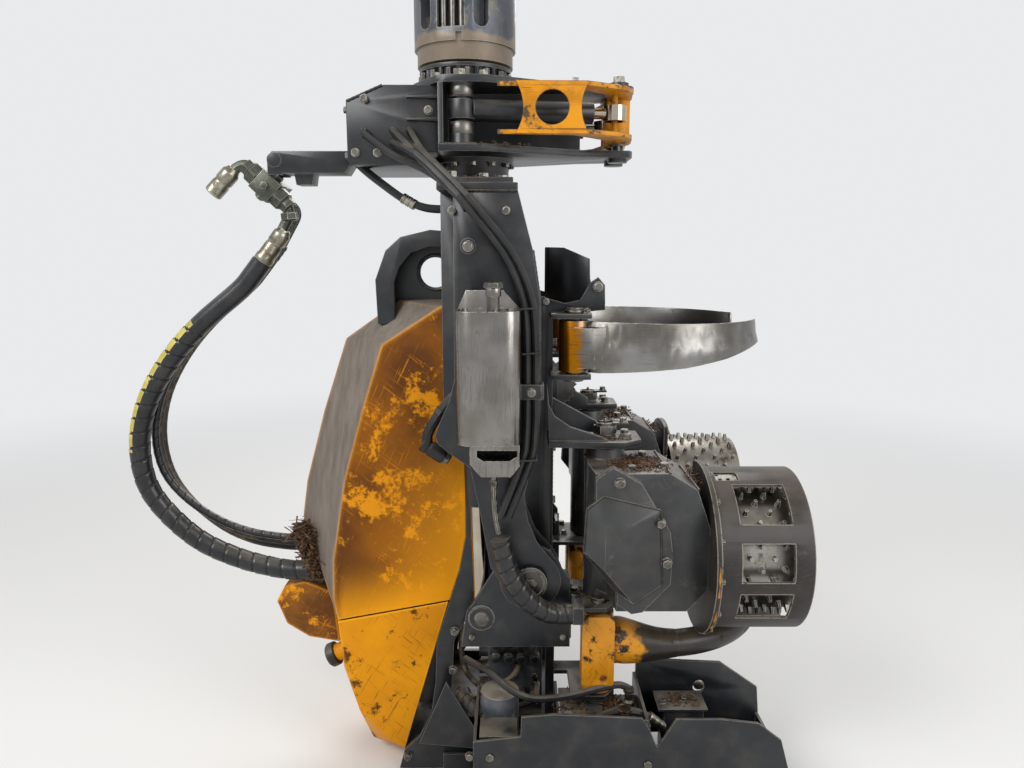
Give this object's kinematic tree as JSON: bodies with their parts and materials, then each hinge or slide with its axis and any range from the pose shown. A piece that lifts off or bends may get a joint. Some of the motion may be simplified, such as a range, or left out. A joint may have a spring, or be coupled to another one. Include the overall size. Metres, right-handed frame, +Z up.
{
  "type": "harvester head",
  "caption": "Felling and processing head for a forestry harvester, with rotator bracket and tilt frame, feed rollers, delimbing knives, saw box and hoses.",
  "frame": {"origin": "centre of the rotator's suspension pin bore, at the top of the head", "axes": "+Z up; +X to the front, the side that takes the tree; -Y the near side, where the tank and the saw box are; the bore runs along Y"},
  "size_m": [1.931, 1.04, 2.475],
  "materials": {
    "black_paint": "satin black paint, scuffed and dusty",
    "yellow_paint": "orange-yellow paint, worn",
    "cast": "grey cast iron",
    "steel": "worn bare steel",
    "stainless": "brushed stainless steel",
    "chrome": "polished chrome",
    "rubber": "black rubber"
  },
  "bodies": {
    "rotator_housing": {"rotator_casing": "cast", "rotator_pipes": "steel"},
    "hanger": {"rotor_flange": "black_paint", "hanger_bracket": "black_paint", "manifold_box": "black_paint", "hose_arm": "black_paint", "coupling_block": "steel", "tilt_crown": "black_paint", "tilt_legs": "black_paint", "tank": "stainless", "leg_hoses": "rubber", "supply_hose": "rubber", "pilot_hoses": "rubber"},
    "hold_arm_near": {"hold_arm_near": "yellow_paint"},
    "hold_arm_far": {"hold_arm_far": "yellow_paint"},
    "hold_barrel_near": {"hold_barrel_near": "black_paint"},
    "hold_barrel_far": {"hold_barrel_far": "black_paint"},
    "hold_rod_near": {"hold_rod_near": "chrome"},
    "hold_rod_far": {"hold_rod_far": "chrome"},
    "tilt_barrels": {"tilt_barrels": "black_paint"},
    "tilt_rods": {"tilt_rods": "chrome"},
    "head": {"main_frame": "black_paint", "frame_ribs": "black_paint", "arch_plates": "black_paint", "tilt_pins": "steel", "feed_brackets": "black_paint", "feed_pins": "steel", "knife_brackets": "black_paint", "knife_pins": "steel", "hose_ports": "steel", "upper_hood": "yellow_paint", "lower_hood": "yellow_paint", "rear_guard": "yellow_paint", "arc_guard": "black_paint", "top_knife": "steel", "valve_block": "cast", "saw_box": "black_paint", "saw_motor": "cast", "pivot_hose": "rubber"},
    "saw": {"saw_bar": "steel", "saw_chain": "steel"},
    "measuring_wheel": {"measuring_wheel": "steel"},
    "feed_arm_near": {"feed_arm_near": "black_paint", "roller_guard_near": "black_paint"},
    "feed_arm_far": {"feed_arm_far": "black_paint", "roller_guard_far": "black_paint"},
    "feed_roller_near": {"feed_roller_near": "steel"},
    "feed_roller_far": {"feed_roller_far": "steel"},
    "upper_knife_near": {"upper_knife_near": "steel"},
    "upper_knife_far": {"upper_knife_far": "steel"},
    "lower_knife_near": {"lower_knife_near": "steel"},
    "lower_knife_far": {"lower_knife_far": "steel"}
  },
  "joints": [
    {"name": "rotator_turn", "type": "hinge", "parent": "rotator_housing", "child": "hanger", "pos_m": [0, 0, 0], "axis": [0, 0, 1], "range_deg": [-170, 170]},
    {"name": "tilt", "type": "hinge", "parent": "hanger", "child": "head", "pos_m": [0.186, 0, -1.736], "axis": [0, 1, 0], "range_deg": [0, 90], "deforming": ["supply_hose", "pilot_hoses", "pivot_hose"]},
    {"name": "tilt_barrel_swing", "type": "hinge", "parent": "hanger", "child": "tilt_barrels", "pos_m": [0.022, 0, -0.82], "axis": [0, -1, 0], "range_deg": [0, 1.6]},
    {"name": "tilt_rod_slide", "type": "slide", "parent": "tilt_barrels", "child": "tilt_rods", "axis": [-0.025, 0, 0.9997], "range_m": [0, 0.2625]},
    {"name": "hold_arm_near_swing", "type": "hinge", "parent": "hanger", "child": "hold_arm_near", "pos_m": [0.44, -0.045, -0.465], "axis": [0, 0, 1], "range_deg": [0, 65]},
    {"name": "hold_barrel_near_swing", "type": "hinge", "parent": "hanger", "child": "hold_barrel_near", "pos_m": [0, -0.19, -0.46], "axis": [0, 0, 1], "range_deg": [0, 1.9]},
    {"name": "hold_rod_near_slide", "type": "slide", "parent": "hold_barrel_near", "child": "hold_rod_near", "axis": [0.9897, 0.1431, 0], "range_m": [0, 0.0925]},
    {"name": "hold_arm_far_swing", "type": "hinge", "parent": "hanger", "child": "hold_arm_far", "pos_m": [0.44, 0.045, -0.465], "axis": [0, 0, -1], "range_deg": [0, 65]},
    {"name": "hold_barrel_far_swing", "type": "hinge", "parent": "hanger", "child": "hold_barrel_far", "pos_m": [0, 0.19, -0.46], "axis": [0, 0, -1], "range_deg": [0, 1.9]},
    {"name": "hold_rod_far_slide", "type": "slide", "parent": "hold_barrel_far", "child": "hold_rod_far", "axis": [0.9897, -0.1431, 0], "range_m": [0, 0.0925]},
    {"name": "feed_arm_near_swing", "type": "hinge", "parent": "head", "child": "feed_arm_near", "pos_m": [0.396, -0.25, -1.59], "axis": [0, 0, -1], "range_deg": [-6, 45]},
    {"name": "feed_roller_near_spin", "type": "hinge", "parent": "feed_arm_near", "child": "feed_roller_near", "pos_m": [0.789, -0.28, -1.655], "axis": [1, 0, 0], "continuous": true},
    {"name": "upper_knife_near_swing", "type": "hinge", "parent": "head", "child": "upper_knife_near", "pos_m": [0.305, -0.255, -1.088], "axis": [0, 0, -1], "range_deg": [-8, 55]},
    {"name": "lower_knife_near_swing", "type": "hinge", "parent": "head", "child": "lower_knife_near", "pos_m": [0.38, -0.3, -1.956], "axis": [0, 0, -1], "range_deg": [-8, 55]},
    {"name": "feed_arm_far_swing", "type": "hinge", "parent": "head", "child": "feed_arm_far", "pos_m": [0.396, 0.25, -1.59], "axis": [0, 0, 1], "range_deg": [-6, 45]},
    {"name": "feed_roller_far_spin", "type": "hinge", "parent": "feed_arm_far", "child": "feed_roller_far", "pos_m": [0.789, 0.28, -1.655], "axis": [1, 0, 0], "continuous": true},
    {"name": "upper_knife_far_swing", "type": "hinge", "parent": "head", "child": "upper_knife_far", "pos_m": [0.305, 0.255, -1.088], "axis": [0, 0, 1], "range_deg": [-8, 55]},
    {"name": "lower_knife_far_swing", "type": "hinge", "parent": "head", "child": "lower_knife_far", "pos_m": [0.38, 0.3, -1.956], "axis": [0, 0, 1], "range_deg": [-8, 55]},
    {"name": "saw_bar_swing", "type": "hinge", "parent": "head", "child": "saw", "pos_m": [0.1, -0.3, -2.32], "axis": [0, 0, 1], "range_deg": [0, 78]},
    {"name": "measuring_wheel_spin", "type": "hinge", "parent": "head", "child": "measuring_wheel", "pos_m": [0.262, 0, -1.24], "axis": [0, 1, 0], "continuous": true}
  ],
  "couplings": [
    {"joint": "tilt_barrel_swing", "follows": "tilt", "ratio": 0.01679},
    {"joint": "tilt_rod_slide", "follows": "tilt", "m_per_rad": 0.16635},
    {"joint": "hold_barrel_near_swing", "follows": "hold_arm_near_swing", "ratio": 0.02846},
    {"joint": "hold_rod_near_slide", "follows": "hold_arm_near_swing", "m_per_rad": 0.0812},
    {"joint": "hold_barrel_far_swing", "follows": "hold_arm_far_swing", "ratio": 0.02846},
    {"joint": "hold_rod_far_slide", "follows": "hold_arm_far_swing", "m_per_rad": 0.0812}
  ]
}
